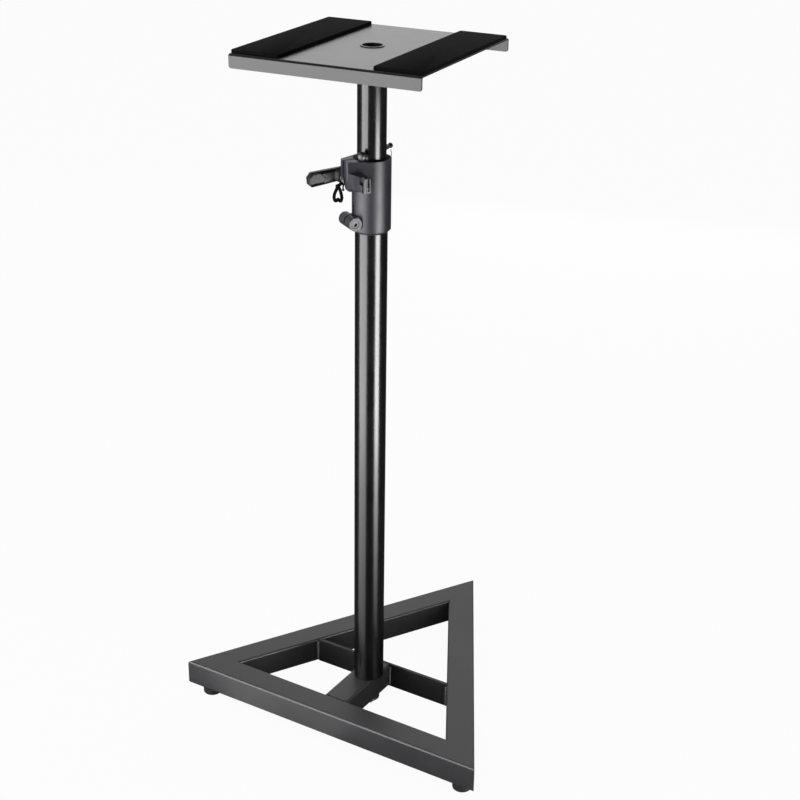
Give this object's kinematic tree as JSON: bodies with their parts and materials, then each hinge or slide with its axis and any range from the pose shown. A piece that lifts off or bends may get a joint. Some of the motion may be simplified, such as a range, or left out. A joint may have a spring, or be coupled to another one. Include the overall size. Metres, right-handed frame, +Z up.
{
  "type": "loudspeaker stand",
  "caption": "Height-adjustable loudspeaker stand: triangular tube base, telescopic column with clamp collar and locking pin, square padded top plate.",
  "frame": {"origin": "centre of the bounding box at floor level, the tether left out", "axes": "+Z up along the column, +X to the right along the front tube of the base, +Y towards the rear corner of the base"},
  "size_m": [0.431, 0.407, 0.8665],
  "materials": {
    "frame_paint": "satin powder coat",
    "column_paint": "semi-gloss",
    "plate_paint": "satin powder coat",
    "collar_plastic": "matte moulded",
    "black_plastic": "matte moulded",
    "rubber": "matte",
    "zinc_steel": "zinc plated",
    "column_plug_steel": "plain turned"
  },
  "bodies": {
    "base": {"base_tube_front": "frame_paint", "base_tube_left": "frame_paint", "base_tube_right": "frame_paint", "base_cross_bar": "frame_paint", "base_support_tube": "frame_paint", "base_weld_beads": "frame_paint", "foot_left": "rubber", "foot_right": "rubber", "foot_rear": "rubber", "foot_screws": "zinc_steel", "column_washer": "zinc_steel", "column_bolt": "zinc_steel", "column_plug": "column_plug_steel", "lower_column": "column_paint", "clamp_collar": "collar_plastic", "collar_liner": "black_plastic", "pinch_screw": "zinc_steel", "pinch_nut": "zinc_steel", "clamp_nut": "zinc_steel", "clamp_washer": "zinc_steel", "tether_wire": "zinc_steel", "tether_loop": "black_plastic", "tether_tail": "black_plastic", "tether_crimp": "black_plastic"},
    "guide": {"guide_bush": "black_plastic"},
    "mast": {"mast_tube": "column_paint", "mast_lower_plug": "black_plastic", "bush_screw": "zinc_steel", "mast_top_plug": "black_plastic", "top_plate": "plate_paint", "plate_rim": "plate_paint", "plate_weld": "plate_paint", "pad_left": "rubber", "pad_right": "rubber"},
    "pin": {"locking_pin": "zinc_steel", "pin_ball": "black_plastic"},
    "handle": {"t_handle": "black_plastic", "clamp_rod": "zinc_steel"}
  },
  "joints": [
    {"name": "mast_height", "type": "slide", "parent": "base", "child": "guide", "axis": [0, 0, 1], "range_m": [0, 0.45]},
    {"name": "mast_turn", "type": "hinge", "parent": "guide", "child": "mast", "pos_m": [0, -0.07927, 0.5054], "axis": [0, 0, 1], "continuous": true},
    {"name": "pin_pull", "type": "slide", "parent": "mast", "child": "pin", "axis": [0.0912, -0.9942, 0.0576], "range_m": [0, 0.07]},
    {"name": "handle_turn", "type": "hinge", "parent": "base", "child": "handle", "pos_m": [-0.01334, -0.09982, 0.7129], "axis": [-0.8387, 0.5446, 0], "range_deg": [0, 180]}
  ]
}
